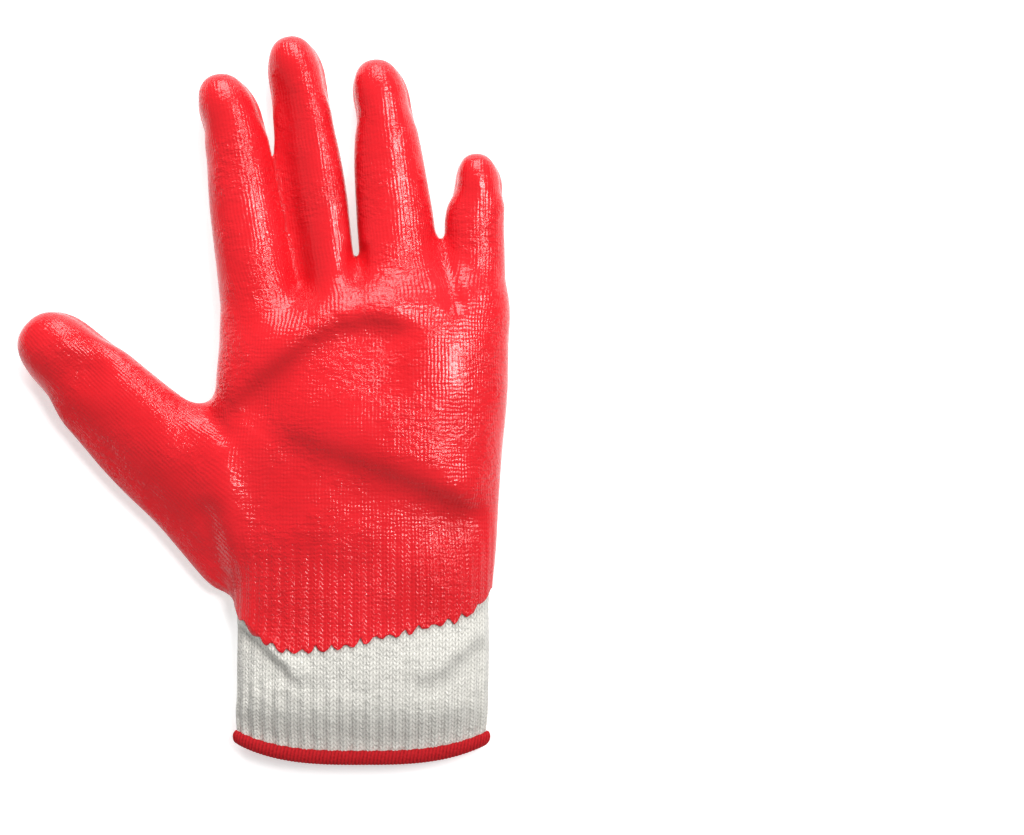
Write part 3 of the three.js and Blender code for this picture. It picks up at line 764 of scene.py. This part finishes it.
def tube_outline(angle, y):
    """x and z on the tube: signed powers of cosine and sine times the half width and the heights."""
    middle, half, top, side = palm_section(y)
    across = signed_power(np.cos(angle), 2 / PALM_ROUND)
    up = signed_power(np.sin(angle), 2 / PALM_ROUND)
    z = side + up * np.where(up > 0, top - side, side * PALM_UNDER)
    return middle + across * half, np.maximum(z, 0.0)


def outward(dx, dz):
    """The unit direction out of the tube: a step round it, turned by a right angle."""
    size = np.maximum(np.hypot(dx, dz), 1e-6)
    return dz / size, -dx / size


def bowed(x, y):
    """The tube's lower end rises towards its sides: the cube of the share across, faded up the cuff."""
    return y + HEM_BOW * np.clip(np.abs(x) / BOW_HALF, 0, 1) ** 3 * (1 - smooth_step(y, 0, BOW_REACH))


def stitch_height(across, along, wale, course, lean):
    """A V stitch as a height from 0 to 1: the round backs of two leaning legs in each wale."""
    beside = np.abs((across / wale) % 1 - 0.5) * 2
    within = np.abs((along / course + beside * lean) % 1 - 0.5)
    return np.sqrt(np.maximum(np.cos(3 * within), 0)) * np.sqrt(np.maximum(np.cos(3 * (beside - 0.5)), 0))


def tube_wall(rows, inward, ribbed):
    """A grid of points round the cuff at the given heights, moved inward, with ribs if wanted."""
    share, y = np.meshgrid(np.arange(CUFF_ROUND_POINTS) / CUFF_ROUND_POINTS, rows)
    x, z = tube_section(share, y)
    nx, nz = outward(*(np.roll(place, -1, 1) - np.roll(place, 1, 1) for place in (x, z)))
    across = share * round(TUBE_ROUND / RIB_PITCH) * RIB_PITCH
    out = -inward * np.ones_like(y)
    if ribbed:
        joined = 1 - smooth_step(y, *RIB_END_SPAN)
        strength = (1 - RIB_CALM * smooth_step(y, *RIB_CALM_SPAN)) * joined
        rib = 0.5 + 0.5 * np.cos(2 * np.pi * across / RIB_PITCH)
        out = out - RIB_DEPTH * strength * (1 - rib) ** RIB_SHARPNESS
        stitch = stitch_height(across, y, RIB_PITCH / 2, COURSE, 0.8)
        out = out - STITCH_DEPTH * joined * (1 - stitch)
    x, z = x + nx * out, z + nz * out
    z = z + relief(x, y) * smooth_step(z, *CUFF_FOLD_LEVELS)
    points = np.stack([x, bowed(x, y), np.maximum(z, TABLE_GAP + inward / 2)], -1)
    return points, np.stack([across, y, np.zeros_like(y)], -1)


def grid_faces(rows, columns):
    """Squares between neighbouring rows of a grid that closes on itself sideways."""
    row, column = np.meshgrid(np.arange(rows - 1), np.arange(columns), indexing="ij")
    beside = (column + 1) % columns
    around = [row * columns + column, row * columns + beside,
              (row + 1) * columns + beside, (row + 1) * columns + column]
    return np.stack(around, -1).reshape(-1, 4)


outer_rows = np.linspace(CUFF_LOW, CUFF_TOP, CUFF_UP_POINTS)
inner_rows = np.linspace(CUFF_TOP, CUFF_LOW, CUFF_INSIDE_ROWS)
outer, outer_place = tube_wall(outer_rows, 0.0, True)
inner, inner_place = tube_wall(inner_rows, CUFF_WALL, False)
points = np.concatenate([outer, inner]).reshape(-1, 3)
places = np.concatenate([outer_place, inner_place]).reshape(-1, 3)
row_count = CUFF_UP_POINTS + CUFF_INSIDE_ROWS
faces = grid_faces(row_count + 1, CUFF_ROUND_POINTS) % (row_count * CUFF_ROUND_POINTS)
cuff = put_mesh("ribbed_cuff", in_row_frame(points), faces.tolist())
cuff.data.shade_smooth()
note_places(cuff, "knit", places)
cuff.data.materials.append(string_knit("cream_rib_knit", CREAM, CREAM_SHADE, RIB_PITCH / 2, COURSE))
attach(cuff, "root")
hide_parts("rib_cuff")

# Hem: red overlock yarn wrapped closely round the cuff's raw lower edge, so it can't unravel.
# Each wrap is one turn of soft thread that leans a little and sinks between its neighbours.
HEM_HEIGHT = 4.9
HEM_PROUD = 1.2
WRAP_COUNT = 150
WRAP_ROUND = 12
WRAP_ALONG = 8
WRAP_LEAN, WRAP_DEPTH, WRAP_END_DEPTH = 0.35, 0.35, 0.15
HEM_LEVEL = 2.0
HEM_INSET = 1.0
HEM_SQUARENESS = 0.8
SHORT_STEP = 0.001
HEM_RED = (0.46, 0.008, 0.013, 1)
# The colour of the hem's painted shade in the grooves between wraps.
HEM_SHADE = (0.25, 0.006, 0.01, 1)
HEM_FIBRE = (0.55, 0.02, 0.025, 1)


def hem_ring():
    """A closed ring round the cuff's edge: an upright rounded band whose surface is scalloped by the
    wraps, the point going round the tube with share and round the band's own section with turn."""
    columns, rows = WRAP_COUNT * WRAP_ALONG, WRAP_ROUND * 2
    share, turn = np.meshgrid(np.arange(columns) / columns, np.arange(rows) / rows * 2 * np.pi)
    lean = WRAP_LEAN * np.sin(turn) / WRAP_COUNT
    level = np.full_like(share, HEM_LEVEL)
    x, z = tube_section(share, level)
    next_x, next_z = tube_section((share + SHORT_STEP) % 1, level)
    nx, nz = outward(next_x - x, next_z - z)
    wave = np.abs(np.cos(np.pi * (share + lean) * WRAP_COUNT))
    thick = (HEM_PROUD + CUFF_WALL) / 2 + WRAP_DEPTH * wave
    out = HEM_PROUD / 2 - HEM_INSET + thick * signed_power(np.cos(turn), HEM_SQUARENESS)
    up = HEM_HEIGHT / 2 + (HEM_HEIGHT / 2 - WRAP_END_DEPTH * (1 - wave)) * np.sin(turn)
    x, z = x + nx * out, z + nz * out
    points = np.stack([x, bowed(x, up), np.maximum(z, TABLE_GAP)], -1)
    # The third value runs from 1 on a wrap's crest to 0 between wraps, and the finish paints shade by it.
    places = np.stack([share * TUBE_ROUND, turn, wave], -1)
    return points.reshape(-1, 3), places.reshape(-1, 3), rows, columns


points, places, rows, columns = hem_ring()
faces = grid_faces(rows + 1, columns) % (rows * columns)
hem = put_mesh("hem_yarn", in_row_frame(points), faces[:, ::-1].tolist())
hem.data.shade_smooth()
note_places(hem, "knit", places)
finish, tree, shader = new_finish("red_overlock_yarn")
where = add(tree, "ShaderNodeTexCoord", out=3)
fibres = add(tree, "ShaderNodeTexNoise", where, None, 1500.0, 2.0)
place = add(tree, "ShaderNodeAttribute", attribute_name="knit", out=1)
split = tree.nodes.new("ShaderNodeSeparateXYZ")
tree.links.new(place, split.inputs[0])
# Painted shade: the yarn darkens where the wraps sink between their neighbours and is lighter on their
# crests.
tone = blend_colours(tree, split.outputs[2], HEM_SHADE, HEM_RED)
tone = blend_colours(tree, span(tree, fibres, 0.35, 0.65, 0, 0.35), tone, HEM_FIBRE)
tree.links.new(tone, shader.inputs["Base Color"])
shader.inputs["Roughness"].default_value = 0.85
shader.inputs["Specular IOR Level"].default_value = 0.15
roughen(tree, shader, fibres, 1.0, 0.0003)
hem.data.materials.append(finish)
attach(hem, "root")
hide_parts("overlock_hem")
